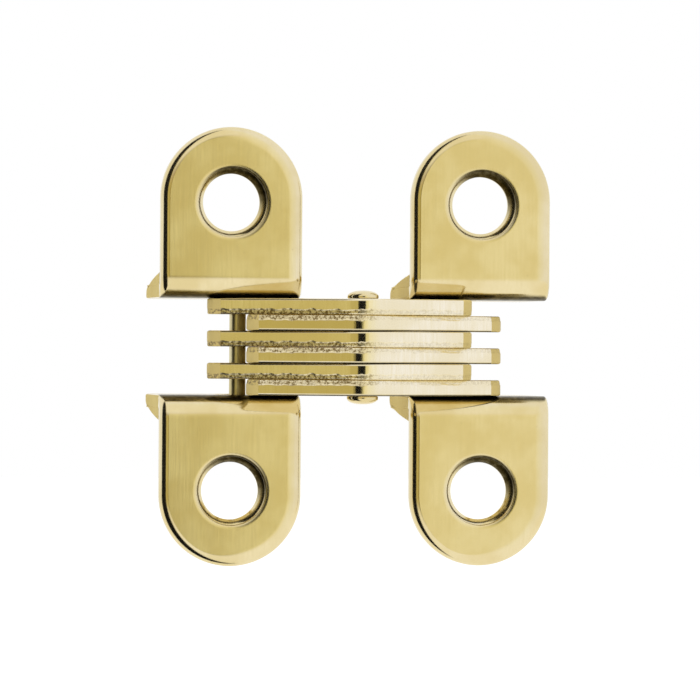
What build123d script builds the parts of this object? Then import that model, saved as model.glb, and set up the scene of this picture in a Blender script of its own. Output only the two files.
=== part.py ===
from build123d import *
import os

# Invisible hinge, laid open at 180 degrees.
# Z runs up along the pins, Y runs from the face of the leaves into the wood,
# and X runs from the left leaf to the right one. The origin is the middle of
# the left leaf's two screw holes, on the plane of the ears' backs, which is
# the plane that the hinge is screwed down on. All sizes are in mm.

# Leaves
sheet = 1.4
ear_width = 12.4
ear_tip_radius = ear_width / 2
leaf_half_height = 19.05
bend_inner_radius = 0.6
bend_outer_radius = bend_inner_radius + sheet
cheek_inner_z = 4.2
cheek_outer_z = cheek_inner_z + sheet
bend_top_z = cheek_inner_z + bend_outer_radius
cheek_reach = 10.6
cheek_corner_radius = 1.6
show_edge_bevel = 0.3
cheek_edge_bevel = 0.6
gusset_top_z = 6.95
gusset_depth = 6.4
gusset_thickness = 1.0

# The two leaves stand on either side of this plane
middle_x = 11.02

# Screw holes
screw_z = 12.5
screw_hole_radius = 2.5
sink_rim_radius = 3.25
sink_angle = 82

# Where the pins stand with the hinge open: x from the middle, y from the seat
pivot_x = 6.6
pivot_y = 3.6
centre_y = -3.9
slide_x = 10.0
slide_y = 2.4

# Pins
pivot_pin_radius = 0.8
centre_pin_radius = 0.85
slide_pin_radius = 0.72
running_gap = 0.04
pin_end_bevel = 0.15
slide_pin_setback = 0.2
centre_head_radius = 1.35
centre_head_height = 0.72
centre_head_rim = 0.22

# The curved slots that the sliding pins run in, from open to closed
slot_start = (-10.0, 2.4)
slot_middle = (-10.95, 5.05)
slot_end = (-9.49, 8.39)
slot_width = 2 * slide_pin_radius + 0.32

# Links: six flat levels between the cheeks, counted from the top
link_pitch = 1.4
link_thickness = 1.36

# Corners and corner radii of a link that pivots in the left leaf
link_corners = [
    (-10.1, -2.94),
    (0.12, -6.14),
    (13.3, -0.38),
    (11.0, 4.88),
    (0.41, -1.24),
    (-6.43, 6.28),
    (-8.29, 4.65),
]
link_radii = [0.95, 4.5, 0.9, 1.65, 1.2, 1.8, 1.8]


# One leaf plate: an ear with a screw hole, a bend, and a cheek that runs back.
# The bent strip is drawn from the side, then cut to the ear's outline.

with BuildPart() as left_upper_plate:
    with BuildSketch(Plane.YZ) as bent_strip:
        with BuildLine():
            show_line = Line((-sheet, leaf_half_height), (-sheet, bend_top_z))
            outer_bend = TangentArc(
                show_line @ 1,
                (bend_inner_radius, cheek_inner_z),
                tangent=(0, -1),
            )
            inner_face = Line(outer_bend @ 1, (cheek_reach, cheek_inner_z))
            rear_end = Line(inner_face @ 1, (cheek_reach, cheek_outer_z))
            outer_face = Line(rear_end @ 1, (bend_inner_radius, cheek_outer_z))
            inner_bend = TangentArc(outer_face @ 1, (0, bend_top_z), tangent=(-1, 0))
            seat_line = Line(inner_bend @ 1, (0, leaf_half_height))
            Line(seat_line @ 1, show_line @ 0)
        make_face()
    extrude(amount=ear_width / 2, both=True)

    with BuildSketch(Plane.XZ.offset(sheet)) as ear_outline:
        with Locations((0, (leaf_half_height - ear_tip_radius) / 2)):
            Rectangle(ear_width, leaf_half_height - ear_tip_radius)
        with Locations((0, leaf_half_height - ear_tip_radius)):
            Circle(ear_tip_radius)
    extrude(amount=-sheet - cheek_reach, mode=Mode.INTERSECT)

    rear_corners = left_upper_plate.edges().filter_by(Axis.Z).group_by(Axis.Y)[-1]
    fillet(rear_corners, radius=cheek_corner_radius)

    # Softened edges: light on the show side, heavier round the cheek's outside
    show_face = left_upper_plate.faces().sort_by(Axis.Y)[0]
    chamfer(show_face.edges().sort_by(Axis.Z)[1:], length=show_edge_bevel)
    cheek_face = left_upper_plate.faces().filter_by(Axis.Z).sort_by(Axis.Z)[-1]
    chamfer(cheek_face.edges().sort_by(Axis.Y)[1:], length=cheek_edge_bevel)

    # The ear keeps a square edge where it lies on the wood
    with BuildSketch(Plane.XZ) as ear_seat:
        with Locations((0, leaf_half_height - ear_tip_radius)):
            Circle(ear_tip_radius)
        with Locations((0, (leaf_half_height - ear_tip_radius + bend_top_z) / 2)):
            Rectangle(ear_width, leaf_half_height - ear_tip_radius - bend_top_z)
    extrude(amount=cheek_edge_bevel)

    # Gusset in the corner between ear and cheek, flush with the outer end
    with BuildSketch(Plane.YZ.offset(-ear_width / 2)) as gusset_side:
        with BuildLine():
            Polyline(
                (-0.4, cheek_outer_z - 0.2),
                (gusset_depth + 0.5, cheek_outer_z - 0.2),
                (gusset_depth + 0.5, cheek_outer_z - 0.1),
                (-0.4, gusset_top_z),
                close=True,
            )
        make_face()
    extrude(amount=gusset_thickness)

    # Countersunk screw hole
    with Locations(Location((0, -sheet, screw_z), (90, 0, 0))):
        CounterSinkHole(screw_hole_radius, sink_rim_radius, counter_sink_angle=sink_angle)

    # Pivot pin hole and the curved slot of the sliding pin
    with BuildSketch(Plane((middle_x, 0, cheek_inner_z))) as cheek_cuts:
        with Locations((-pivot_x, pivot_y)):
            Circle(pivot_pin_radius)
        with BuildLine():
            ThreePointArc(slot_start, slot_middle, slot_end)
            offset(amount=slot_width / 2)
        make_face()
    extrude(amount=sheet, dir=(0, 0, 1), mode=Mode.SUBTRACT)

# The other three plates are mirror images of the first
middle_plane = Plane.YZ.offset(middle_x)

with BuildPart() as left_lower_plate:
    mirror(left_upper_plate.part, about=Plane.XY)

with BuildPart() as right_upper_plate:
    mirror(left_upper_plate.part, about=middle_plane)

with BuildPart() as right_lower_plate:
    mirror(left_lower_plate.part, about=middle_plane)


def stamped_link(level, side):
    """One flat bent link. Side 1 pivots in the left leaf, -1 in the right."""
    foot_z = (3.5 - level) * link_pitch - link_thickness / 2
    centre_hole = centre_pin_radius
    if side < 0:
        centre_hole = centre_pin_radius + running_gap
    with BuildPart() as link:
        with BuildSketch(Plane((middle_x, 0, foot_z))):
            with BuildLine():
                corners = [(side * x, y) for x, y in link_corners]
                FilletPolyline(corners, radius=link_radii, close=True)
            make_face()
            with Locations((-side * pivot_x, pivot_y)):
                Circle(pivot_pin_radius + running_gap, mode=Mode.SUBTRACT)
            with Locations((0, centre_y)):
                Circle(centre_hole, mode=Mode.SUBTRACT)
            with Locations((side * slide_x, slide_y)):
                Circle(slide_pin_radius, mode=Mode.SUBTRACT)
        extrude(amount=link_thickness, dir=(0, 0, 1))
    return link.part


# Levels 1, 3 and 5 pivot in the right leaf, levels 2, 4 and 6 in the left
right_link_upper = stamped_link(1, -1)
left_link_upper = stamped_link(2, 1)
right_link_middle = stamped_link(3, -1)
left_link_middle = stamped_link(4, 1)
right_link_lower = stamped_link(5, -1)
left_link_lower = stamped_link(6, 1)

# Centre pin: a rod with a domed head riveted over at each end
centre_plane = Plane((middle_x, centre_y, 0), x_dir=(1, 0, 0), z_dir=(0, -1, 0))

with BuildPart() as centre_pin:
    with BuildSketch(centre_plane) as pin_half:
        with BuildLine():
            head_rim = (centre_head_radius, cheek_inner_z + centre_head_rim)
            crown = (0, cheek_inner_z + centre_head_height)
            Polyline(
                (0, 0),
                (centre_pin_radius, 0),
                (centre_pin_radius, cheek_inner_z),
                (centre_head_radius, cheek_inner_z),
                head_rim,
            )
            TangentArc(crown, head_rim, tangent=(1, 0))
            Line(crown, (0, 0))
        make_face()
    revolve(axis=Axis((middle_x, centre_y, 0), (0, 0, 1)))
    mirror(about=Plane.XY)


def plain_pin(x, y, radius, half_length):
    """Straight pin with its ends eased, the same above and below the middle."""
    with BuildPart() as pin:
        with BuildSketch(Plane((x, y, 0))):
            Circle(radius)
        extrude(amount=half_length, both=True)
        chamfer(pin.edges().filter_by(GeomType.CIRCLE), length=pin_end_bevel)
    return pin.part


# Pivot pins are peened flush in the cheeks, sliding pins stop inside the slots
pivot_half = cheek_outer_z + pin_end_bevel
slide_half = cheek_outer_z - slide_pin_setback

left_pivot_pin = plain_pin(middle_x - pivot_x, pivot_y, pivot_pin_radius, pivot_half)
right_pivot_pin = plain_pin(middle_x + pivot_x, pivot_y, pivot_pin_radius, pivot_half)
left_slide_pin = plain_pin(middle_x - slide_x, slide_y, slide_pin_radius, slide_half)
right_slide_pin = plain_pin(middle_x + slide_x, slide_y, slide_pin_radius, slide_half)


os.makedirs("parts", exist_ok=True)

pieces = {
    "left_upper_plate": left_upper_plate.part,
    "left_lower_plate": left_lower_plate.part,
    "right_upper_plate": right_upper_plate.part,
    "right_lower_plate": right_lower_plate.part,
    "right_link_upper": right_link_upper,
    "left_link_upper": left_link_upper,
    "right_link_middle": right_link_middle,
    "left_link_middle": left_link_middle,
    "right_link_lower": right_link_lower,
    "left_link_lower": left_link_lower,
    "centre_pin": centre_pin.part,
    "left_pivot_pin": left_pivot_pin,
    "right_pivot_pin": right_pivot_pin,
    "left_slide_pin": left_slide_pin,
    "right_slide_pin": right_slide_pin,
}
for name, piece in pieces.items():
    piece.label = name
    export_step(piece, f"parts/{name}.step")
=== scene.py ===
import math

import bmesh
import bpy
from mathutils import Matrix, Vector
from mathutils.geometry import delaunay_2d_cdt


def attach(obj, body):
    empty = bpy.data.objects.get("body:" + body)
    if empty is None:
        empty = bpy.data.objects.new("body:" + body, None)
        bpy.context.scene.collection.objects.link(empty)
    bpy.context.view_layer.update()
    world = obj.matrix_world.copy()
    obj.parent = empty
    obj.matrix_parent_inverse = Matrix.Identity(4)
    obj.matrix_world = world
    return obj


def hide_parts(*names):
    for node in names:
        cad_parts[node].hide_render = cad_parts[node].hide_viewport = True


# Everything is drawn in millimetres and scaled to metres when a mesh is made.
MM = 0.001

# Sizes of the hinge, the same as in the part's source unless a comment says more
SHEET = 1.4
EAR_WIDTH = 12.4
TIP_RADIUS = EAR_WIDTH / 2
HALF_HEIGHT = 19.05
BEND_INNER = 0.6
CHEEK_INNER_Z = 4.2
CHEEK_OUTER_Z = CHEEK_INNER_Z + SHEET
BEND_TOP_Z = CHEEK_OUTER_Z + BEND_INNER
CHEEK_REACH = 10.6
CORNER_RADIUS = 1.6
MIDDLE_X = 11.02
SCREW_Z = 12.5
HOLE_RADIUS = 2.5
GUSSET_THICKNESS = 1.0
PIVOT = (6.6, 3.6)
CENTRE_Y = -3.9
SLIDE = (10.0, 2.4)
PIVOT_PIN_RADIUS = 0.8
CENTRE_PIN_RADIUS = 0.85
SLIDE_PIN_RADIUS = 0.72
RUNNING_GAP = 0.04
PIN_END_BEVEL = 0.15
SLIDE_PIN_SETBACK = 0.2
RIVET_HEAD_RADIUS = 1.35
RIVET_HEAD_HEIGHT = 0.72
SLOT_HALF = 0.88
SLOT_PATH = [(-10.0, 2.4), (-10.95, 5.05), (-9.49, 8.39)]
LINK_PITCH = 1.4
LINKS_PER_LEAF = 3
LINK_CORNERS = [
    (-10.1, -2.94),
    (0.12, -6.14),
    (13.3, -0.38),
    (11.0, 4.88),
    (0.41, -1.24),
    (-6.43, 6.28),
    (-8.29, 4.65),
]
LINK_RADII = [0.95, 4.5, 0.9, 1.65, 1.2, 1.8, 1.8]

# The links are 0.03 thicker than in the source, so that no light shows between them
LINK_THICKNESS = 1.39

# The gusset's slope as (distance behind the ear, drop from its top) points. It is
# rounder than in the source, and its foot is sunk a little way into the cheek.
GUSSET_TOP_Z = 6.5
GUSSET_FOOT_Z = CHEEK_OUTER_Z - 0.4
GUSSET_SLOPE = [
    (-0.1, 0),
    (1.0, 0.08),
    (2.4, 0.22),
    (3.8, 0.39),
    (5.0, 0.55),
    (6.2, 0.74),
    (7.3, 0.96),
    (8.2, 1.18),
    (8.6, 1.3),
]

# The bend is followed along its middle layer
BEND_LENGTH = math.pi / 2 * (BEND_INNER + SHEET / 2)

# Rounded edges as (width in from the side, depth down from the face)
EAR_FRONT_EDGE = (0.9, 0.85)
EAR_BACK_EDGE = (0.1, 0.09)
CHEEK_FRONT_EDGE = (0.22, 0.22)
CHEEK_BACK_EDGE = (0.5, 0.45)
GUSSET_INNER_EDGE = (0.05, 0.05)
GUSSET_OUTER_EDGE = (0.22, 0.22)
PLAIN_HOLE_EDGE = (0.06, 0.06)

# A rounded edge turns this many degrees, and then runs out into the face
EDGE_TURN = 78
SHORT_RUN_OUT = 0.015
SOFT_RUN_OUT = 0.6

# The cheek's outer edge gets deeper towards its rear corners. Start and run are
# measured back from the bend.
REAR_EDGE_START = 6.5
REAR_EDGE_RUN = 2.5
REAR_EDGE_DEPTH = 0.45

# The countersink's flare, from its foot up. Tilts are in degrees.
FLARE_FOOT_HEIGHT = 0.42
FLARE_STEP = 0.083
FLARE_STEPS = 10
FLARE_FOOT_TILT = 62
FLARE_TURN = 24

# What lies round the flare, as (inset, height, outward part, upward part) rows.
# The bore's are as they stand, the step's start from the top of the flare, and
# the lip's give the drop from the ear's face in place of the height.
SINK_BORE = [(0.06, 0, 0, -1), (0.02, 0.02, 0.7, -0.7), (0, 0.07, 1, 0)]
SINK_STEP = [(0.01, 0.01, 0.99, 0.1), (0.03, 0.16, 0.99, 0.12)]
SINK_LIP = [
    (0.05, 0.10, 0.88, 0.47),
    (0.08, 0.055, 0.60, 0.80),
    (0.12, 0.032, 0.26, 0.965),
    (0.13, 0.028, 0.21, 0.978),
    (0.22, 0.013, 0.13, 0.99),
    (0.31, 0.004, 0.07, 0.998),
    (0.42, 0, 0, 1),
]

# How finely curves are drawn
ROUND_STEPS = 96
BEND_STEPS = 24
CORNER_STEPS = 14
EAR_SIDE_STEPS = 6
CHEEK_SIDE_STEPS = 8
BLANK_EDGE_STEPS = 9
HOLE_EDGE_STEPS = 3
GUSSET_EDGE_STEPS = 4
PIVOT_HOLE_STEPS = 32
SLOT_SIDE_STEPS = 16
SLOT_END_STEPS = 12
PIN_STEPS = 64
DOME_STEPS = 12

# Rows of points across the bend, which keep its faces round
BEND_ROW_POINTS = 9
BEND_ROW_INSET = 1

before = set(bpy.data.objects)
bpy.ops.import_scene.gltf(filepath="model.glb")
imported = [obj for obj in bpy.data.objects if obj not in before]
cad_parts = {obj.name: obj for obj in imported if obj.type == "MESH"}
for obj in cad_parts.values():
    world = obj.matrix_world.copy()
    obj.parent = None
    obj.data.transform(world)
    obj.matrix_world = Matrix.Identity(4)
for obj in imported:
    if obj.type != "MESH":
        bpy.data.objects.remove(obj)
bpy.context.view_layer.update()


# Meshes


def mesh_object(name, points, faces, normals, *materials):
    """A mesh from points in millimetres, with a normal given for each point."""
    mesh = bpy.data.meshes.new(name)
    mesh.from_pydata([Vector(p) * MM for p in points], [], faces)
    mesh.polygons.foreach_set("use_smooth", [True] * len(mesh.polygons))
    mesh.normals_split_custom_set_from_vertices([Vector(n).normalized() for n in normals])
    for material in materials:
        mesh.materials.append(material)
    thing = bpy.data.objects.new(name, mesh)
    bpy.context.scene.collection.objects.link(thing)
    return thing


def smooth_step(value):
    """From 0 to 1 with soft ends, and level outside that."""
    value = min(max(value, 0.0), 1.0)
    return value * value * (3 - 2 * value)


def between(first, second, share):
    """From first to second as share runs from 0 to 1."""
    return first + (second - first) * share


def arc_points(centre, radius, start, end, steps):
    """Points on an arc, angles in degrees, both ends included."""
    points = []
    for k in range(steps + 1):
        angle = math.radians(start + (end - start) * k / steps)
        points.append((centre[0] + radius * math.cos(angle), centre[1] + radius * math.sin(angle)))
    return points


def outward_normals(loop, hole):
    """Normals of a closed outline that point out of the metal."""
    normals = []
    count = len(loop)
    for k in range(count):
        ahead, behind = Vector(loop[(k + 1) % count]), Vector(loop[k - 1])
        along = (ahead - behind).normalized()
        normals.append(Vector((along.y, -along.x)) * (-1 if hole else 1))
    return normals


def edge_rings(back, front, thickness, steps, ease=SHORT_RUN_OUT):
    """An edge's section as (inset, height, outward part, upward part) rows.

    back and front are the width and depth of the rounding on each side, and ease
    is how far the front rounding takes to run out into the face."""
    rings = []
    for width, depth, side in ((*back, -1), (*front, 1)):
        rows = []
        for k in range(steps + 1):
            turn = math.radians(EDGE_TURN) * k / steps
            out = Vector((math.cos(turn) * depth, math.sin(turn) * width)).normalized()
            height = depth * (1 - math.sin(turn))
            if side > 0:
                height = thickness - height
            rows.append((width * (1 - math.cos(turn)), height, out.x, side * out.y))
        run_out = SHORT_RUN_OUT if side < 0 else ease
        rows.append((rows[-1][0] + run_out, 0 if side < 0 else thickness, 0, side))
        rings += rows[::-1] if side < 0 else rows
    return rings


def inside(point, loop):
    """Whether a point lies in a closed outline."""
    found = False
    for k in range(len(loop)):
        (x1, y1), (x2, y2) = loop[k - 1], loop[k]
        if (y1 > point.y) != (y2 > point.y):
            if point.x < (x2 - x1) * (point.y - y1) / (y2 - y1) + x1:
                found = not found
    return found


def fill_face(loops, spread_rows):
    """Triangles over an outline with holes. loops[0] is the outline.

    spread_rows are rows of points inside it that the triangles also go through."""
    points, edges = [], []
    for loop in loops:
        first = len(points)
        points += [Vector(p) for p in loop]
        edges += [(first + k, first + (k + 1) % len(loop)) for k in range(len(loop))]
    rim_count = len(points)
    for row in spread_rows:
        points += [Vector(p) for p in row]
    places, _, triangles, _, _, _ = delaunay_2d_cdt(points, edges, [], 1, 1e-7)
    kept = []
    for triangle in triangles:
        middle = (places[triangle[0]] + places[triangle[1]] + places[triangle[2]]) / 3
        if not any(inside(middle, hole) for hole in loops[1:]):
            kept.append(list(triangle))
    return places, kept, rim_count


def slab(outlines, thickness, place, spread_rows=()):
    """A slab with shaped edges, laid where place says.

    outlines is a list of (loop, rings, is_hole), and rings(u, s) gives the edge's
    section there. place(u, s, w, direction) returns the point and its normal."""
    points, faces, normals = [], [], []
    back_loops, front_loops, back_ids, front_ids = [], [], [], []
    for loop, rings, hole in outlines:
        outward = outward_normals(loop, hole)
        count = len(loop)
        grid = []
        for k in range(count):
            column = []
            for inset, height, out, up in rings(*loop[k]):
                u, s = Vector(loop[k]) - outward[k] * inset
                direction = Vector((outward[k].x * out, outward[k].y * out, up))
                point, normal = place(u, s, height, direction)
                column.append((len(points), (u, s)))
                points.append(point)
                normals.append(normal)
            grid.append(column)
        for k in range(count):
            here, there = grid[k], grid[(k + 1) % count]
            for j in range(len(here) - 1):
                quad = [here[j][0], there[j][0], there[j + 1][0], here[j + 1][0]]
                faces.append(quad[::-1] if hole else quad)
        back_loops.append([column[0][1] for column in grid])
        front_loops.append([column[-1][1] for column in grid])
        back_ids += [column[0][0] for column in grid]
        front_ids += [column[-1][0] for column in grid]
    sides = ((back_loops, back_ids, 0, -1), (front_loops, front_ids, thickness, 1))
    for loops, ids, height, up in sides:
        places, triangles, rim_count = fill_face(loops, spread_rows)
        lookup = list(ids)
        for u, s in places[rim_count:]:
            point, normal = place(u, s, height, Vector((0, 0, up)))
            lookup.append(len(points))
            points.append(point)
            normals.append(normal)
        for a, b, c in triangles:
            face = [lookup[a], lookup[b], lookup[c]]
            faces.append(face if up > 0 else face[::-1])
    return points, faces, normals


def merge_parts(parts):
    """Several lists of points, faces and normals as one."""
    points, faces, normals = [], [], []
    for some_points, some_faces, some_normals in parts:
        first = len(points)
        points += some_points
        normals += some_normals
        faces += [[first + i for i in face] for face in some_faces]
    return points, faces, normals


# Leaf plates


def bent_place(u, s, w, direction):
    """From the flat blank to the bent plate. s is 0 where the ear meets the bend."""
    if s >= 0:
        point = Vector((u, -w, BEND_TOP_Z + s))
        return point, Vector((direction.x, -direction.z, direction.y))
    turn = min(-s / BEND_LENGTH, 1) * math.pi / 2
    radius = BEND_INNER + w
    run = max(-s - BEND_LENGTH, 0)
    point = Vector((
        u,
        BEND_INNER - radius * math.cos(turn) + run,
        BEND_TOP_Z - radius * math.sin(turn),
    ))
    along = Vector((0, -math.sin(turn), math.cos(turn)))
    front = Vector((0, -math.cos(turn), -math.sin(turn)))
    return point, Vector((1, 0, 0)) * direction.x + along * direction.y + front * direction.z


def blank_outline():
    """The flat blank: a round-tipped ear, the bend, and the cheek's two corners."""
    half = EAR_WIDTH / 2
    tip_s = HALF_HEIGHT - TIP_RADIUS - BEND_TOP_Z
    end_s = -BEND_LENGTH - (CHEEK_REACH - BEND_INNER)
    bend = [-BEND_LENGTH * k / BEND_STEPS for k in range(BEND_STEPS + 1)]
    ear_side = [tip_s * k / EAR_SIDE_STEPS for k in range(EAR_SIDE_STEPS - 1, 0, -1)]
    cheek_run = -end_s - BEND_LENGTH - CORNER_RADIUS
    cheek_side = []
    for k in range(1, CHEEK_SIDE_STEPS):
        cheek_side.append(-BEND_LENGTH - cheek_run * k / CHEEK_SIDE_STEPS)
    side = ear_side + bend + cheek_side
    loop = arc_points((0, tip_s), TIP_RADIUS, 0, 180, ROUND_STEPS)
    loop += [(-half, s) for s in side]
    corner = (-half + CORNER_RADIUS, end_s + CORNER_RADIUS)
    loop += arc_points(corner, CORNER_RADIUS, 180, 270, CORNER_STEPS)
    corner = (half - CORNER_RADIUS, end_s + CORNER_RADIUS)
    loop += arc_points(corner, CORNER_RADIUS, 270, 360, CORNER_STEPS)
    loop += [(half, s) for s in side[::-1]]
    return loop


def blank_edge(u, s, facing):
    """Rolled over on the show side, square behind the ear, rounder on the cheek,
    and most of all at its rear corners.

    The front rounding runs out softly on the leaf's right. facing is 1 where that
    is the blank's +X side, and -1 where it is the other."""
    on_cheek = smooth_step(-s / BEND_LENGTH)
    back = [between(*sizes, on_cheek) for sizes in zip(EAR_BACK_EDGE, CHEEK_BACK_EDGE)]
    front = [between(*sizes, on_cheek) for sizes in zip(EAR_FRONT_EDGE, CHEEK_FRONT_EDGE)]
    rear = smooth_step((-s - BEND_LENGTH - REAR_EDGE_START) / REAR_EDGE_RUN)
    back[1] += REAR_EDGE_DEPTH * rear
    soft = smooth_step(u * facing / TIP_RADIUS + 0.6) * (1 - on_cheek)
    run_out = SHORT_RUN_OUT + SOFT_RUN_OUT * soft
    return edge_rings(back, front, SHEET, BLANK_EDGE_STEPS, run_out)


def sink_edge(u, s):
    """The screw hole: a bore, a flare, a low step, a fine rim and a lip that rolls in."""
    rows = list(SINK_BORE)
    inset, height = 0.0, FLARE_FOOT_HEIGHT
    for k in range(FLARE_STEPS):
        tilt = math.radians(FLARE_FOOT_TILT - FLARE_TURN * k / (FLARE_STEPS - 1))
        rows.append((inset, height, math.sin(tilt), math.cos(tilt)))
        inset += FLARE_STEP * math.cos(tilt)
        height += FLARE_STEP * math.sin(tilt)
    flare_inset, flare_height = rows[-1][:2]
    for inset, rise, out, up in SINK_STEP:
        rows.append((flare_inset + inset, flare_height + rise, out, up))
    for inset, drop, out, up in SINK_LIP:
        rows.append((flare_inset + inset, SHEET - drop, out, up))
    return rows


def plain_hole_edge(u, s):
    """The pivot hole and the slot, with both edges just broken."""
    return edge_rings(PLAIN_HOLE_EDGE, PLAIN_HOLE_EDGE, SHEET, HOLE_EDGE_STEPS)


def slot_outline():
    """The curved slot, drawn on the blank."""
    (x1, y1), (x2, y2), (x3, y3) = [(x + MIDDLE_X, y) for x, y in SLOT_PATH]
    twice = 2 * (x1 * (y2 - y3) + x2 * (y3 - y1) + x3 * (y1 - y2))
    a, b, c = x1 * x1 + y1 * y1, x2 * x2 + y2 * y2, x3 * x3 + y3 * y3
    centre = Vector((
        (a * (y2 - y3) + b * (y3 - y1) + c * (y1 - y2)) / twice,
        (a * (x3 - x2) + b * (x1 - x3) + c * (x2 - x1)) / twice,
    ))
    radius = (Vector((x1, y1)) - centre).length
    start = math.degrees(math.atan2(y1 - centre.y, x1 - centre.x)) % 360
    end = math.degrees(math.atan2(y3 - centre.y, x3 - centre.x)) % 360
    loop = arc_points(centre, radius + SLOT_HALF, end, start, SLOT_SIDE_STEPS)
    loop += arc_points((x1, y1), SLOT_HALF, start, start + 180, SLOT_END_STEPS)[1:-1]
    loop += arc_points(centre, radius - SLOT_HALF, start, end, SLOT_SIDE_STEPS)
    loop += arc_points((x3, y3), SLOT_HALF, end + 180, end + 360, SLOT_END_STEPS)[1:-1]
    loop = [(x, -BEND_LENGTH - (y - BEND_INNER)) for x, y in loop]
    area = 0
    for k in range(len(loop)):
        area += loop[k - 1][0] * loop[k][1] - loop[k][0] * loop[k - 1][1]
    return loop if area > 0 else loop[::-1]


def gusset_place(u, s, w, direction):
    """A gusset is drawn from the side, and stands at the plate's -X end."""
    point = Vector((-EAR_WIDTH / 2 + GUSSET_THICKNESS - w, u, s))
    return point, Vector((-direction.z, direction.x, direction.y))


def across(parts):
    """The same parts at the other end of the plate."""
    points, faces, normals = parts
    other = Vector((-1, 1, 1))
    points = [p * other for p in points]
    normals = [n * other for n in normals]
    return points, [face[::-1] for face in faces], normals


def gusset_edge(u, s):
    """Rounded on the outside, just broken on the inside."""
    sizes = (GUSSET_INNER_EDGE, GUSSET_OUTER_EDGE, GUSSET_THICKNESS)
    return edge_rings(*sizes, GUSSET_EDGE_STEPS)


def gusset():
    """The small web between ear and cheek at one end of a plate."""
    loop = [(GUSSET_SLOPE[0][0], GUSSET_FOOT_Z)]
    loop += [(y, GUSSET_TOP_Z - drop) for y, drop in GUSSET_SLOPE]
    outlines = [(loop[::-1], gusset_edge, False)]
    points, faces, normals = slab(outlines, GUSSET_THICKNESS, gusset_place)
    return points, [face[::-1] for face in faces], normals


# Painted shade on the leaves: a dark line inside each bend, and a dark arc in each
# countersink. Facings run from 0 to 1, where 1 looks straight at the middle of the hinge.
BEND_SHADE_FACING = 0.6
BEND_SHADE_START = 0.72
BEND_SHADE_RUN = 0.15
BEND_SHADE_TOP_Z = CHEEK_INNER_Z + 0.9
BEND_SHADE_FADE = (0.4, 1.6)
SINK_SHADE_RADIUS = 3.12
SINK_SHADE_Y = -0.3
SINK_SHADE_WAY = Vector((0.5, 0.9))
SINK_SHADE_BASE = 0.15


def painted_shade_at(point, normal, screw):
    """How much painted shade lies on a point of a leaf, from none at 0 to dark at 1."""
    inward = -normal.z if point.z > 0 else normal.z
    if inward > BEND_SHADE_FACING and abs(point.z) < BEND_SHADE_TOP_Z:
        near, far = BEND_SHADE_FADE
        fade = 1 - smooth_step((point.y - near) / (far - near))
        return smooth_step((inward - BEND_SHADE_START) / BEND_SHADE_RUN) * fade
    reach = Vector((point.x - screw.x, point.z - screw.z))
    if point.y < SINK_SHADE_Y and reach.length < SINK_SHADE_RADIUS:
        return smooth_step(reach.normalized() @ SINK_SHADE_WAY + SINK_SHADE_BASE)
    return 0.0


# Faces that look along X by more than this, behind the ear, are sheared and dull
SHEARED_FACING = 0.75
SHEARED_START_Y = 0.2


def leaf_plate(word, level, body, bright, sheared):
    """One leaf plate with its gussets, mirrored into its own place."""
    right, lower = word == "right", level == "lower"
    screw_s = SCREW_Z - BEND_TOP_Z
    pivot_s = -BEND_LENGTH - (PIVOT[1] - BEND_INNER)
    pivot_centre = (MIDDLE_X - PIVOT[0], pivot_s)
    pivot_loop = arc_points(pivot_centre, PIVOT_PIN_RADIUS, 0, 360, PIVOT_HOLE_STEPS)[:-1]
    screw_loop = arc_points((0, screw_s), HOLE_RADIUS, 0, 360, ROUND_STEPS)[:-1]
    outlines = [
        (blank_outline(), lambda u, s: blank_edge(u, s, -1 if right else 1), False),
        (screw_loop, sink_edge, True),
        (pivot_loop, plain_hole_edge, True),
        (slot_outline(), plain_hole_edge, True),
    ]
    row_width, gaps = EAR_WIDTH - 2 * BEND_ROW_INSET, BEND_ROW_POINTS - 1
    across_bend = [row_width * (j / gaps - 0.5) for j in range(BEND_ROW_POINTS)]
    rows = []
    for k in range(BEND_STEPS + 1):
        rows.append([(u, -BEND_LENGTH * k / BEND_STEPS) for u in across_bend])
    plate = slab(outlines, SHEET, bent_place, rows)
    points, faces, normals = merge_parts([plate, gusset(), across(gusset())])
    flip = Vector((-1 if right else 1, 1, -1 if lower else 1))
    shift = Vector((2 * MIDDLE_X if right else 0, 0, 0))
    points = [p * flip + shift for p in points]
    normals = [n * flip for n in normals]
    if right != lower:
        faces = [face[::-1] for face in faces]
    plate = mesh_object(f"{word}_{level}_leaf", points, faces, normals, bright, sheared)
    # Painted shade: a dark line inside each bend and a dark arc in each countersink, kept on the
    # points
    painted_shade = plate.data.attributes.new("painted_shade", "FLOAT", "POINT")
    screw = Vector((2 * MIDDLE_X if right else 0, 0, -SCREW_Z if lower else SCREW_Z))
    for point, normal, share in zip(points, normals, painted_shade.data):
        share.value = painted_shade_at(point, normal, screw)
    for polygon in plate.data.polygons:
        side_on = sum(abs(normals[i].x) for i in polygon.vertices) / len(polygon.vertices)
        if side_on > SHEARED_FACING and polygon.center.y > SHEARED_START_Y * MM:
            polygon.material_index = 1
    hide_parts(f"{word}_{level}_plate")
    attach(plate, body)


# Pins


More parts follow.
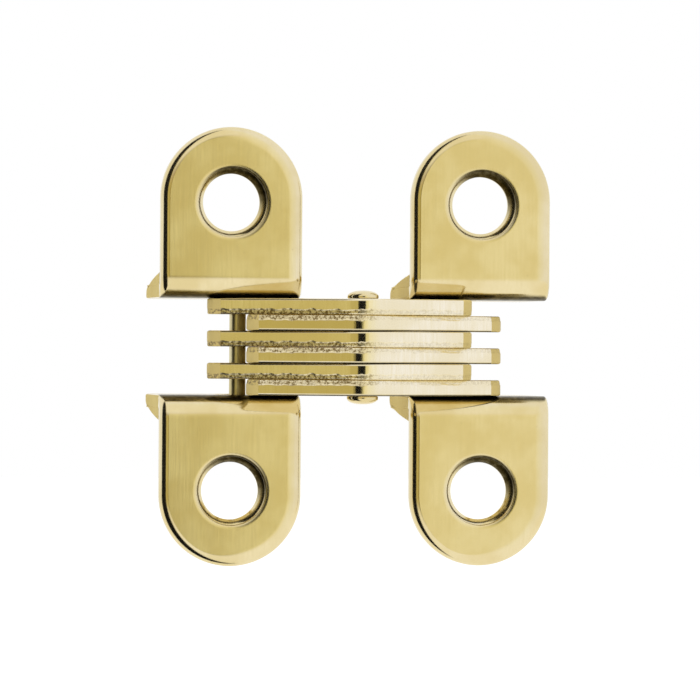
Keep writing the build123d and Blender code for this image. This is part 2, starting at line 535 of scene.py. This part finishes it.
def turned_pin(name, node, body, place, section, material):
    """A pin turned about Z from (radius, height) rows, both ends closed."""
    steps = PIN_STEPS
    points, faces, normals = [], [], []
    rows = []
    for k, (radius, height) in enumerate(section):
        before = Vector(section[max(k - 1, 0)])
        after = Vector(section[min(k + 1, len(section) - 1)])
        along = (after - before).normalized()
        rows.append((radius, height, along.y, -along.x))
    for radius, height, out, up in rows:
        for j in range(steps):
            angle = 2 * math.pi * j / steps
            points.append((
                place[0] + radius * math.cos(angle),
                place[1] + radius * math.sin(angle),
                height,
            ))
            normals.append((out * math.cos(angle), out * math.sin(angle), up))
    for k in range(len(rows) - 1):
        for j in range(steps):
            following = (j + 1) % steps
            faces.append([
                k * steps + j,
                k * steps + following,
                (k + 1) * steps + following,
                (k + 1) * steps + j,
            ])
    for row, up in ((0, -1), (len(rows) - 1, 1)):
        points.append((place[0], place[1], rows[row][1]))
        normals.append((0, 0, up))
        for j in range(steps):
            face = [row * steps + j, row * steps + (j + 1) % steps, len(points) - 1]
            faces.append(face if up > 0 else face[::-1])
    pin = mesh_object(name, points, faces, normals, material)
    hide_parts(node)
    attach(pin, body)


# Links


def link_outline_curve():
    """The link's corners as a closed curve. Each point's radius is its corner's."""
    curve = bpy.data.curves.new("link_corners", "CURVE")
    curve.dimensions = "3D"
    spline = curve.splines.new("POLY")
    spline.points.add(len(LINK_CORNERS) - 1)
    for point, (x, y), radius in zip(spline.points, LINK_CORNERS, LINK_RADII):
        point.co = (x, y, 0, 1)
        point.radius = radius
    spline.use_cyclic_u = True
    thing = bpy.data.objects.new("link_corners", curve)
    bpy.context.scene.collection.objects.link(thing)
    return thing


class Tree:
    """A short way to write a node tree down, node by node."""

    def __init__(self, tree):
        self.tree = tree

    def add(self, kind, settings=None, **sockets):
        node = self.tree.nodes.new(kind)
        for key, value in (settings or {}).items():
            setattr(node, key, value)
        for key, value in sockets.items():
            self.join(value, node.inputs[key.replace("_", " ")])
        return node

    def join(self, value, socket):
        if isinstance(value, bpy.types.NodeSocket):
            self.tree.links.new(value, socket)
        elif isinstance(value, bpy.types.Node):
            self.tree.links.new(first_output(value), socket)
        else:
            socket.default_value = value

    def math(self, operation, *values):
        node = self.tree.nodes.new("ShaderNodeMath")
        node.operation = operation
        for value, socket in zip(values, node.inputs):
            self.join(value, socket)
        return node.outputs[0]

    def vector(self, operation, *values):
        node = self.tree.nodes.new("ShaderNodeVectorMath")
        node.operation = operation
        places = [0, 3] if operation == "SCALE" else [0, 1, 2]
        for value, place in zip(values, places):
            self.join(value, node.inputs[place])
        return node.outputs["Value" if operation == "LENGTH" else "Vector"]

    def point(self, x, y, z):
        return self.add("ShaderNodeCombineXYZ", X=x, Y=y, Z=z).outputs[0]

    def parts(self, value):
        return self.add("ShaderNodeSeparateXYZ", Vector=value).outputs

    def clamped(self, value):
        """The value, kept between 0 and 1."""
        return self.math("MINIMUM", self.math("MAXIMUM", value, 0), 1)

    def soft_range(self, value, low, high, low_result=0.0):
        """From low_result to 1 as the value runs from low to high, with soft ends."""
        settings = {"interpolation_type": "SMOOTHSTEP"}
        node = self.add("ShaderNodeMapRange", settings, Value=value)
        for name, number in (("From Min", low), ("From Max", high), ("To Min", low_result)):
            node.inputs[name].default_value = number
        return node.outputs["Result"]

    def attribute(self, name, output="Fac"):
        """What the mesh keeps under this name."""
        return self.add("ShaderNodeAttribute", {"attribute_name": name}).outputs[output]

    def mix(self, share, first, second):
        """The first colour where share is 0, the second where it is 1."""
        node = self.add("ShaderNodeMix", {"data_type": "RGBA"})
        by_name = {}
        for socket in node.inputs:
            if socket.enabled:
                by_name[socket.name] = socket
        self.join(share, by_name["Factor"])
        self.join(first, by_name["A"])
        self.join(second, by_name["B"])
        return first_output(node)


def first_output(node):
    """The socket that a node is read from when none is named."""
    return next(socket for socket in node.outputs if socket.enabled)


# The link tree's inputs, with what they hold unless a stack sets its own
LINK_INPUTS = [
    ("Thickness", LINK_THICKNESS),
    ("Levels Apart", 2 * LINK_PITCH),
    ("Top Level", 0.0),
    ("Torn Side", 1.0),
    ("Pivot Hole", PIVOT_PIN_RADIUS + RUNNING_GAP),
    ("Centre Hole", CENTRE_PIN_RADIUS + RUNNING_GAP),
    ("Slide Hole", SLIDE_PIN_RADIUS),
    ("Edge Radius", 0.2),
    ("Torn Edge Radius", 0.13),
    ("Torn Share", 0.22),
    ("Torn Depth", 0.022),
    ("Torn Slope", 0.0),
    # The last is how dark the painted shade along the links' seams is
    ("Seam Shade", 0.0),
]


def link_tree(material):
    """Stamped links: a rounded outline with three holes, walled, capped and stacked.

    The wall is smooth where the punch cut it and torn where the metal broke."""
    group = bpy.data.node_groups.new("stamped_links", "GeometryNodeTree")
    face = group.interface
    face.new_socket(name="Geometry", in_out="INPUT", socket_type="NodeSocketGeometry")
    for name, value in LINK_INPUTS:
        socket = face.new_socket(name=name, in_out="INPUT", socket_type="NodeSocketFloat")
        socket.default_value = value
    face.new_socket(name="Geometry", in_out="OUTPUT", socket_type="NodeSocketGeometry")
    t = Tree(group)
    given = group.nodes.new("NodeGroupInput").outputs
    thickness = given["Thickness"]

    # Outline and hole curves, all with the metal on their left
    outline = t.add("GeometryNodeFilletCurve", {"mode": "POLY"}, Curve=given["Geometry"], Count=10)
    t.join(t.add("GeometryNodeInputRadius"), outline.inputs["Radius"])
    outline = t.add("GeometryNodeResampleCurve", {"mode": "LENGTH"}, Curve=outline, Length=0.1)
    loops = t.add("GeometryNodeJoinGeometry")
    t.join(outline, loops.inputs[0])
    holes = (
        ("Pivot Hole", -PIVOT[0], PIVOT[1]),
        ("Centre Hole", 0, CENTRE_Y),
        ("Slide Hole", *SLIDE),
    )
    for name, x, y in holes:
        ring = t.add("GeometryNodeCurvePrimitiveCircle", {"mode": "RADIUS"}, Resolution=40)
        t.join(given[name], ring.inputs["Radius"])
        ring = t.add("GeometryNodeReverseCurve", Curve=ring)
        ring = t.add("GeometryNodeTransform", Geometry=ring, Translation=(x, y, 0))
        t.join(ring, loops.inputs[0])
    loops = t.add("GeometryNodeSetCurveRadius", Curve=loops, Radius=1.0)

    # Kept on every point: where its outline runs and which way is out of the metal
    along = t.add("GeometryNodeInputTangent")
    out = t.vector("NORMALIZE", t.vector("CROSS_PRODUCT", along, (0, 0, 1)))
    place = t.add("GeometryNodeInputPosition").outputs[0]
    for name, value in (("outline_place", place), ("out_of_metal", out)):
        store = {"data_type": "FLOAT_VECTOR", "domain": "POINT"}
        loops = t.add("GeometryNodeStoreNamedAttribute", store, Geometry=loops, Name=name)
        t.join(value, loops.inputs["Value"])
    loops = loops.outputs["Geometry"]

    # The wall's section is a straight line of points that keep their height
    half = t.math("MULTIPLY", thickness, 0.5)
    foot = t.point(0, t.math("MULTIPLY", half, -1), 0)
    head = t.point(0, half, 0)
    section = t.add("GeometryNodeCurvePrimitiveLine", Start=foot, End=head)
    section = t.add("GeometryNodeResampleCurve", {"mode": "COUNT"}, Curve=section, Count=27)
    up = t.parts(t.add("GeometryNodeInputPosition").outputs[0])["Y"]
    store = {"data_type": "FLOAT", "domain": "POINT"}
    section = t.add("GeometryNodeStoreNamedAttribute", store, Geometry=section, Name="wall_height")
    t.join(up, section.inputs["Value"])
    wall = t.add("GeometryNodeCurveToMesh", Curve=loops)
    t.join(section, wall.inputs["Profile Curve"])

    def kept(name, kind):
        node = t.add("GeometryNodeInputNamedAttribute", {"data_type": kind}, Name=name)
        return node.outputs["Attribute"]

    place, out = kept("outline_place", "FLOAT_VECTOR"), kept("out_of_metal", "FLOAT_VECTOR")
    height = kept("wall_height", "FLOAT")
    torn_half = t.math("GREATER_THAN", t.math("MULTIPLY", height, given["Torn Side"]), 0)
    clean = t.math("SUBTRACT", 1, torn_half)
    radius = t.math("MULTIPLY", given["Edge Radius"], clean)
    radius = t.math("ADD", radius, t.math("MULTIPLY", given["Torn Edge Radius"], torn_half))
    over = t.math("SUBTRACT", t.math("ABSOLUTE", height), t.math("SUBTRACT", half, radius))
    over = t.clamped(t.math("DIVIDE", over, radius))
    over_squared = t.math("MULTIPLY", over, over)
    rest = t.math("SQRT", t.math("MAXIMUM", t.math("SUBTRACT", 1, over_squared), 0))
    rounding = t.math("MULTIPLY", radius, t.math("SUBTRACT", 1, rest))

    # The torn zone has a ragged edge and a rough floor, and falls back to one side
    noise = {"noise_dimensions": "3D"}
    spot = t.vector("ADD", place, t.point(0, 0, t.math("MULTIPLY", height, 1.6)))
    ragged = t.add("ShaderNodeTexNoise", noise, Vector=place, Scale=1.4, Detail=4.0)
    ragged = t.math("MULTIPLY", t.math("SUBTRACT", ragged.outputs[0], 0.5), 0.5)
    torn_way = t.math("MULTIPLY", height, given["Torn Side"])
    depth = t.math("ADD", torn_way, ragged)
    torn = t.clamped(t.math("DIVIDE", t.math("SUBTRACT", depth, given["Torn Share"]), 0.08))
    inner = t.math("SUBTRACT", 1, over)
    torn = t.math("MULTIPLY", torn, t.math("MINIMUM", t.math("MULTIPLY", inner, 1.5), 1))
    rough = t.add("ShaderNodeTexNoise", noise, Vector=spot, Scale=6.0, Detail=3.0)
    rough = t.math("MULTIPLY", rough.outputs[0], given["Torn Depth"])
    rough = t.math("MULTIPLY", t.math("MULTIPLY", rough, 2), torn)
    fall = t.math("MAXIMUM", t.math("SUBTRACT", torn_way, given["Torn Share"]), 0)
    rough = t.math("ADD", rough, t.math("MULTIPLY", fall, given["Torn Slope"]))
    sink = t.math("MULTIPLY", t.math("ADD", rounding, rough), -1)
    # Painted shade along the clean rounded edge, where one link meets the next
    seam = t.math("MULTIPLY", t.math("MULTIPLY", over_squared, clean), given["Seam Shade"])
    target = t.vector("ADD", place, t.point(0, 0, height))
    target = t.vector("ADD", target, t.vector("SCALE", out, sink))
    for name, domain, value in (
        ("torn", "POINT", torn),
        ("painted_shade", "POINT", seam),
        ("side_wall", "FACE", 1.0),
    ):
        store = {"data_type": "FLOAT", "domain": domain}
        wall = t.add("GeometryNodeStoreNamedAttribute", store, Geometry=wall, Name=name)
        t.join(value, wall.inputs["Value"])
    wall = t.add("GeometryNodeSetPosition", Geometry=wall, Position=target)

    # Caps over the inset outlines, flat shaded so that they stay level
    wall = t.add("GeometryNodeSetShadeSmooth", Geometry=wall, Shade_Smooth=True)
    whole = t.add("GeometryNodeJoinGeometry")
    t.join(wall, whole.inputs[0])
    for name, sign in (("Torn Edge Radius", 1), ("Edge Radius", -1)):
        inset = t.math("MULTIPLY", given[name], -1)
        inset = t.vector("SCALE", kept("out_of_metal", "FLOAT_VECTOR"), inset)
        rims = t.add("GeometryNodeSetPosition", Geometry=loops, Offset=inset)
        cap = t.add("GeometryNodeFillCurve", {"mode": "TRIANGLES"}, Curve=rims)
        cap = t.add("GeometryNodeSetShadeSmooth", Geometry=cap, Shade_Smooth=False)
        side = t.math("MULTIPLY", t.math("MULTIPLY", half, sign), given["Torn Side"])
        lid = t.add("GeometryNodeTransform", Geometry=cap, Translation=t.point(0, 0, side))
        t.join(lid, whole.inputs[0])
    whole = t.add("GeometryNodeMergeByDistance", Geometry=whole, Distance=0.0005)

    # All the links of one leaf, one above the other
    start = t.point(0, 0, given["Top Level"])
    step = t.point(0, 0, t.math("MULTIPLY", given["Levels Apart"], -1))
    levels = t.add("GeometryNodeMeshLine", {"mode": "OFFSET"}, Count=LINKS_PER_LEAF)
    t.join(start, levels.inputs["Start Location"])
    t.join(step, levels.inputs["Offset"])
    stack = t.add("GeometryNodeInstanceOnPoints", Points=levels, Instance=whole)
    stack = t.add("GeometryNodeRealizeInstances", Geometry=stack)
    stack = t.add("GeometryNodeSetMaterial", Geometry=stack, Material=material)
    t.join(stack, group.nodes.new("NodeGroupOutput").inputs[0])
    return group


def link_stack(name, side, top_level, material, group):
    """Three links of one body. Side 1 pivots in the left leaf, -1 in the right.

    The left leaf's links have fallen back further where they tore, and they have
    painted shade along their seams."""
    corners = link_outline_curve()
    modifier = corners.modifiers.new("links", "NODES")
    modifier.node_group = group
    sizes = {
        "Top Level": (LINKS_PER_LEAF + 0.5 - top_level) * LINK_PITCH,
        "Torn Side": side,
        "Centre Hole": CENTRE_PIN_RADIUS + (RUNNING_GAP if side < 0 else 0),
        "Torn Slope": 0.18 if side > 0 else 0.03,
        # Only the left leaf's links get painted shade along their seams
        "Seam Shade": 2.0 if side > 0 else 0,
    }
    for item in group.interface.items_tree:
        if item.in_out == "INPUT" and item.name in sizes:
            modifier[item.identifier] = float(sizes[item.name])
    bpy.context.view_layer.update()
    evaluated = corners.evaluated_get(bpy.context.evaluated_depsgraph_get())
    mesh = bpy.data.meshes.new_from_object(evaluated)
    corners.modifiers.remove(modifier)
    curve = corners.data
    bpy.data.objects.remove(corners)
    bpy.data.curves.remove(curve)
    mesh.name = name
    to_middle = Matrix.Translation((MIDDLE_X * MM, 0, 0))
    mesh.transform(to_middle @ Matrix.Diagonal((side * MM, MM, MM, 1)))
    work = bmesh.new()
    work.from_mesh(mesh)
    bmesh.ops.recalc_face_normals(work, faces=work.faces)
    work.to_mesh(mesh)
    work.free()
    if not mesh.materials:
        mesh.materials.append(material)
    stack = bpy.data.objects.new(name, mesh)
    bpy.context.scene.collection.objects.link(stack)
    return stack


# Metals

# In millimetres: a link is dull beyond these ends of its outline, and its stains
# fade between these two places on the hinge
DULL_END_X = (-9.0, 12.0)
STAIN_FADE_X = (13.0, 9.5)


def shade(tint, parts):
    """A colour with its red, green and blue each taken times a part, up to 1."""
    return tuple(min(c * k, 1) for c, k in zip(tint, parts)) + (1,)


def metal_material(name, tint, roughness, brushing, direction, metallic=1.0, torn=False):
    """Plated brass with fine brushing, soft clouds of colour, painted shade and pits.

    direction is the brushing's stretch along X, Y and Z, per millimetre. torn is
    for the links, whose edges are torn on one side and dull at the ends."""
    material = bpy.data.materials.new(name)
    material.use_nodes = True
    t = Tree(material.node_tree)
    shader = material.node_tree.nodes["Principled BSDF"]
    shader.inputs["Metallic"].default_value = metallic
    place = t.add("ShaderNodeTexCoord").outputs["Object"]
    in_mm = t.vector("SCALE", place, 1000.0)
    stretched = t.vector("MULTIPLY", in_mm, direction)

    lines = t.add("ShaderNodeTexNoise", Vector=stretched, Scale=1.0, Detail=3.0, Roughness=0.6)
    clouds = t.add("ShaderNodeTexNoise", Vector=in_mm, Scale=0.22, Detail=3.0, Roughness=0.55)
    grain = t.add("ShaderNodeTexNoise", Vector=in_mm, Scale=9.0, Detail=2.0, Roughness=0.6)
    pits = t.add("ShaderNodeTexVoronoi", {"feature": "F1"}, Vector=in_mm, Scale=1.3)
    sizes = t.add("ShaderNodeTexNoise", Vector=in_mm, Scale=0.9, Detail=2.0)

    deep = shade(tint, (0.93, 0.90, 0.80))
    pale = shade(tint, (1.02, 1.03, 1.08))
    colour = t.mix(t.soft_range(clouds, 0.35, 0.65), pale, deep)
    streak = t.add("ShaderNodeMapRange", Value=lines)
    streak.inputs["From Min"].default_value = 0.3
    streak.inputs["From Max"].default_value = 0.75
    streak.inputs["To Max"].default_value = 0.95 if torn else 0.5 * brushing
    colour = t.mix(streak, colour, deep)

    # Pits: a few fine dots where the plating is thin
    reach = t.math("MULTIPLY", sizes, 0.11)
    pit = t.math("LESS_THAN", pits.outputs["Distance"], t.math("SUBTRACT", reach, 0.022))
    colour = t.mix(t.math("MULTIPLY", pit, 0.6), colour, shade(tint, (0.45, 0.40, 0.30)))

    rough = t.math("ADD", roughness, t.math("MULTIPLY", lines, 0.10 * brushing))
    rough = t.math("ADD", rough, t.math("MULTIPLY", clouds, 0.05))

    # Painted shade in the countersinks, at the bends and between the links
    painted_shade = t.attribute("painted_shade")
    blotches = t.add("ShaderNodeTexNoise", Vector=in_mm, Scale=2.2, Detail=3.0)
    patchy = t.math("ADD", 0.72, t.math("MULTIPLY", blotches, 0.5))
    if torn:
        walls = t.attribute("side_wall")
        painted_shade = t.math("MULTIPLY", painted_shade, walls)
    painted_shade = t.math("MINIMUM", t.math("MULTIPLY", painted_shade, patchy), 1.0)
    colour = t.mix(painted_shade, colour, shade(tint, (0.07, 0.06, 0.03)))
    rough = t.math("ADD", rough, t.math("MULTIPLY", painted_shade, 0.15))

    height = t.math("ADD", t.math("MULTIPLY", lines, brushing), t.math("MULTIPLY", grain, 0.2))
    height = t.math("SUBTRACT", height, t.math("MULTIPLY", pit, 0.8))
    if torn:
        # Dull where an edge faces sideways, and at both ends of a link
        facing = t.math("ABSOLUTE", t.parts(t.attribute("out_of_metal", "Vector"))["X"])
        end_x = t.parts(t.attribute("outline_place", "Vector"))["X"]
        short_end = t.math("LESS_THAN", end_x, DULL_END_X[0])
        long_end = t.math("GREATER_THAN", end_x, DULL_END_X[1])
        far_end = t.math("MAXIMUM", long_end, short_end)
        dull = t.math("MAXIMUM", t.soft_range(facing, 0.41, 0.47), far_end)
        dull = t.math("MULTIPLY", dull, walls)
        colour = t.mix(dull, colour, shade(tint, (0.76, 0.64, 0.30)))
        rough = t.math("ADD", rough, t.math("MULTIPLY", dull, 0.4))
        t.join(t.math("SUBTRACT", 1, t.math("MULTIPLY", dull, 0.9)), shader.inputs["Metallic"])

        # Stains in the torn zone's hollows, fewer towards the right
        broken = t.attribute("torn")
        crumbs = t.add("ShaderNodeTexNoise", Vector=in_mm, Scale=4.6, Detail=3.0, Roughness=0.7)
        leftward = t.soft_range(t.parts(in_mm)["X"], *STAIN_FADE_X, low_result=0.2)
        stained = t.math("MULTIPLY", t.soft_range(crumbs, 0.46, 0.58), leftward)
        stained = t.math("MULTIPLY", broken, stained)
        colour = t.mix(stained, colour, shade(tint, (0.30, 0.24, 0.14)))
        rough = t.math("ADD", rough, t.math("MULTIPLY", broken, 0.14))
        crumbled = t.math("MULTIPLY", crumbs, broken)
        height = t.math("ADD", height, t.math("MULTIPLY", crumbled, 3.0))
    bump = t.add("ShaderNodeBump", Strength=0.35, Distance=0.006 * MM, Height=height)
    t.join(colour, shader.inputs["Base Color"])
    t.join(rough, shader.inputs["Roughness"])
    t.join(bump, shader.inputs["Normal"])
    return material


leaf_brass = metal_material("leaf_brass", (0.79, 0.69, 0.42), 0.10, 0.8, (5.0, 5.0, 0.28))
link_brass = metal_material("link_brass", (0.88, 0.81, 0.61), 0.06, 0.5, (5.0, 5.0, 0.4), torn=True)
sheared_brass = metal_material("sheared_brass", (0.72, 0.56, 0.14), 0.45, 1.6, (0.8, 3.0, 1.2), 0.4)
pin_brass = metal_material("pin_brass", (0.70, 0.63, 0.38), 0.26, 0.7, (1.0, 1.0, 5.0))

# Leaves, links and pins

for word in ("left", "right"):
    for level in ("upper", "lower"):
        leaf_plate(word, level, f"{word}_leaf", leaf_brass, sheared_brass)

links = link_tree(link_brass)
for side, top_level, word in ((-1, 1, "right"), (1, 2, "left")):
    nodes = [f"{word}_link_{level}" for level in ("upper", "middle", "lower")]
    stack = link_stack(f"{word}_links_stack", side, top_level, link_brass, links)
    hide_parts(*nodes)
    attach(stack, f"{word}_links")
bpy.data.node_groups.remove(links)


def rod_section(radius, half, bevel):
    """Half section of a plain rod with eased ends."""
    rows = [
        (radius - bevel, -half),
        (radius - bevel * 0.3, -half + bevel * 0.3),
        (radius, -half + bevel),
    ]
    return rows + [(r, -z) for r, z in rows[::-1]]


def rivet_section():
    """Half section of the centre pin: a rod with a low domed head at each end."""
    head, seat, rim, edge, tip = RIVET_HEAD_RADIUS, CHEEK_INNER_Z, 0.2, 0.06, 0.02
    upper = [
        (CENTRE_PIN_RADIUS, seat - rim),
        (CENTRE_PIN_RADIUS, seat),
        (head - edge, seat),
        (head, seat + edge),
        (head, seat + rim),
    ]
    for k in range(1, DOME_STEPS + 1):
        turn = math.pi / 2 * k / DOME_STEPS
        radius = head * math.cos(turn) ** 0.85 if k < DOME_STEPS else tip
        upper.append((radius, seat + rim + (RIVET_HEAD_HEIGHT - rim) * math.sin(turn)))
    return [(r, -z) for r, z in upper[::-1]] + upper


pivot_half, slide_half = CHEEK_OUTER_Z + PIN_END_BEVEL, CHEEK_OUTER_Z - SLIDE_PIN_SETBACK
pivot_section = rod_section(PIVOT_PIN_RADIUS, pivot_half, PIN_END_BEVEL)
slide_section = rod_section(SLIDE_PIN_RADIUS, slide_half, PIN_END_BEVEL)
for word, other, side in (("left", "right", -1), ("right", "left", 1)):
    place = (MIDDLE_X + side * PIVOT[0], PIVOT[1])
    names = (f"{word}_pivot_rod", f"{word}_pivot_pin", f"{word}_leaf")
    turned_pin(*names, place, pivot_section, pin_brass)
    place = (MIDDLE_X + side * SLIDE[0], SLIDE[1])
    names = (f"{word}_slide_rod", f"{word}_slide_pin", f"{other}_links")
    turned_pin(*names, place, slide_section, pin_brass)
names = ("centre_rivet", "centre_pin", "left_links")
turned_pin(*names, (MIDDLE_X, CENTRE_Y), rivet_section(), leaf_brass)


# Stage

# The flats that stand round the hinge, by compass angle in degrees: 0 is straight
# in front of it, 90 to its right and -90 to its left
DARK_LEFT = (0.01, 0.01, 0.01)
DARK_FRONT = (0.005, 0.005, 0.005)
WHITE_RIGHT = (1.03, 1.03, 1.10)
STUDIO_FLATS = [
    (-180, (1, 1, 1)),
    (-97, (1, 1, 1)),
    (-92, DARK_LEFT),
    (-43.5, DARK_LEFT),
    (-41, (0.70, 0.60, 0.25)),
    (-33, (0.68, 0.58, 0.24)),
    (-27, (0.58, 0.48, 0.17)),
    (-13, (0.60, 0.50, 0.18)),
    (-12, DARK_FRONT),
    (4.3, DARK_FRONT),
    (5.5, (0.90, 0.82, 0.44)),
    (9.5, (0.92, 0.84, 0.48)),
    (12.8, (1.03, 0.97, 0.74)),
    (20, (1.02, 1.00, 0.88)),
    (40, WHITE_RIGHT),
    (100, WHITE_RIGHT),
    (130, (1.02, 1.02, 1.02)),
]

# The dark flat on the left reaches from floor to ceiling: its middle, how far it is
# whole to each side, and where it has ended, in degrees
LEFT_FLAT = (-67, 24, 29)


def stage_board(name, centre, size, material):
    """A level square board."""
    mesh = bpy.data.meshes.new(name)
    half = size / 2
    corners = [(-half, -half, 0), (half, -half, 0), (half, half, 0), (-half, half, 0)]
    mesh.from_pydata([Vector(c) + Vector(centre) for c in corners], [], [(0, 1, 2, 3)])
    mesh.materials.append(material)
    board = bpy.data.objects.new(name, mesh)
    bpy.context.scene.collection.objects.link(board)


def studio_colour(t, way):
    """The colour of the flat that stands this way, and the way's compass angle."""
    x, y, _ = t.parts(way)
    compass = t.math("ARCTAN2", x, t.math("MULTIPLY", y, -1))
    share = t.math("ADD", t.math("DIVIDE", compass, 2 * math.pi), 0.5)
    ramp = t.add("ShaderNodeValToRGB", Fac=share)
    elements = ramp.color_ramp.elements
    while len(elements) < len(STUDIO_FLATS):
        elements.new(0.5)
    for element, (angle, colour) in zip(elements, STUDIO_FLATS):
        element.position = angle / 360 + 0.5
        element.color = (*colour, 1)
    return ramp.outputs[0], compass


def left_flat_share(t, compass):
    """1 where the dark flat on the left stands, and 0 elsewhere."""
    middle, whole, ended = (math.radians(angle) for angle in LEFT_FLAT)
    off = t.math("ABSOLUTE", t.math("ADD", compass, -middle))
    return t.soft_range(off, ended, whole)


def paper_material():
    """White paper, a little lighter far off, that keeps the hinge's shadow.

    In the metal it shows near white close to the hinge, and the flats far off."""
    material = bpy.data.materials.new("pale_paper")
    material.use_nodes = True
    t = Tree(material.node_tree)
    material.node_tree.nodes.remove(material.node_tree.nodes["Principled BSDF"])
    paper = t.add("ShaderNodeBsdfDiffuse", Color=(0.82, 0.82, 0.82, 1))
    place = t.add("ShaderNodeTexCoord").outputs["Object"]
    place = t.vector("SUBTRACT", place, (MIDDLE_X * MM, 0, 0))
    distance = t.vector("LENGTH", t.vector("MULTIPLY", place, (1, 1, 0)))
    away = t.soft_range(distance, 0.04, 0.5)
    rays = t.add("ShaderNodeLightPath").outputs
    lift = t.math("ADD", 0.15, t.math("MULTIPLY", away, 0.3))
    lift = t.math("MULTIPLY", rays["Is Camera Ray"], lift)
    glow = t.add("ShaderNodeEmission", Color=(1, 1, 1, 1), Strength=lift)
    both = t.add("ShaderNodeAddShader")
    t.join(paper, both.inputs[0])
    t.join(glow, both.inputs[1])

    flats, compass = studio_colour(t, place)
    shown = t.mix(t.soft_range(distance, 0.14, 0.4), (1.09, 1.06, 0.99, 1), flats)
    shown = t.mix(left_flat_share(t, compass), shown, (*DARK_LEFT, 1))
    mirrored = t.add("ShaderNodeEmission", Color=shown, Strength=1.0)
    in_metal = t.math("MAXIMUM", rays["Is Glossy Ray"], rays["Is Transmission Ray"])
    whole = t.add("ShaderNodeMixShader", Fac=in_metal)
    t.join(both, whole.inputs[1])
    t.join(mirrored, whole.inputs[2])
    t.join(whole, material.node_tree.nodes["Material Output"].inputs["Surface"])
    return material


stage_board("floor", (0.011, 0, -0.06), 3, paper_material())

# Camera and light

scene = bpy.context.scene
scene.view_settings.view_transform = "Standard"

# The photograph was taken from the hinge's left, with a slight roll
hinge_middle = Vector((MIDDLE_X, -SHEET, 0)) * MM
camera_distance = 0.350
azimuth = math.radians(-10.0)
roll = math.radians(0.38)
camera_data = bpy.data.cameras.new("camera")
camera_data.lens = 207
camera_data.sensor_width = 36
camera_data.clip_start = 0.01
camera = bpy.data.objects.new("camera", camera_data)
back = Vector((math.sin(azimuth), -math.cos(azimuth), 0))
aim = hinge_middle + Vector((-0.67, 0, -0.23)) * MM
turn = back.to_track_quat("Z", "Y").to_matrix().to_4x4() @ Matrix.Rotation(roll, 4, "Z")
camera.matrix_world = Matrix.Translation(aim + back * camera_distance) @ turn
scene.collection.objects.link(camera)
scene.camera = camera


def area_lamp(name, place, target, size, power):
    """A square lamp at a place, turned to its target."""
    data = bpy.data.lights.new(name, "AREA")
    data.size = size
    data.energy = power
    lamp = bpy.data.objects.new(name, data)
    facing = (Vector(place) - target).to_track_quat("Z", "Y")
    lamp.matrix_world = Matrix.Translation(place) @ facing.to_matrix().to_4x4()
    scene.collection.objects.link(lamp)
    return lamp


# It gives the paper a soft shadow, and does not show in the metal
top_lamp = area_lamp("top_lamp", (0.03, 0.02, 0.6), hinge_middle, 0.1, 1.6)
top_lamp.visible_glossy = False


def studio_world():
    """A studio with flats all round and a cream ceiling, where the metal sees them.

    The camera sees plain white behind the hinge, and dull surfaces are lit by a
    soft even white."""
    world = bpy.data.worlds.new("studio")
    world.use_nodes = True
    t = Tree(world.node_tree)
    world.node_tree.nodes.clear()
    way = t.add("ShaderNodeTexCoord").outputs["Generated"]
    flats, compass = studio_colour(t, way)
    overhead = t.soft_range(t.parts(way)["Z"], 0.03, 0.5)
    clear = t.math("MULTIPLY", overhead, t.math("SUBTRACT", 1, left_flat_share(t, compass)))
    ceiling = t.mix(clear, (0, 0, 0, 1), (1.02, 0.98, 0.88, 1))
    flats = t.vector("MAXIMUM", flats, ceiling)
    rays = t.add("ShaderNodeLightPath").outputs
    seen = t.math("MAXIMUM", rays["Is Camera Ray"], rays["Is Glossy Ray"])
    seen = t.math("MAXIMUM", seen, rays["Is Transmission Ray"])
    colour = t.mix(rays["Is Camera Ray"], flats, (1, 1, 1, 1))
    surroundings = t.add("ShaderNodeBackground", Color=colour, Strength=1.0)
    soft = t.add("ShaderNodeBackground", Color=(1, 1, 1, 1), Strength=0.85)
    both = t.add("ShaderNodeMixShader", Fac=seen)
    t.join(soft, both.inputs[1])
    t.join(surroundings, both.inputs[2])
    t.join(both, t.add("ShaderNodeOutputWorld").inputs["Surface"])
    return world


scene.world = studio_world()
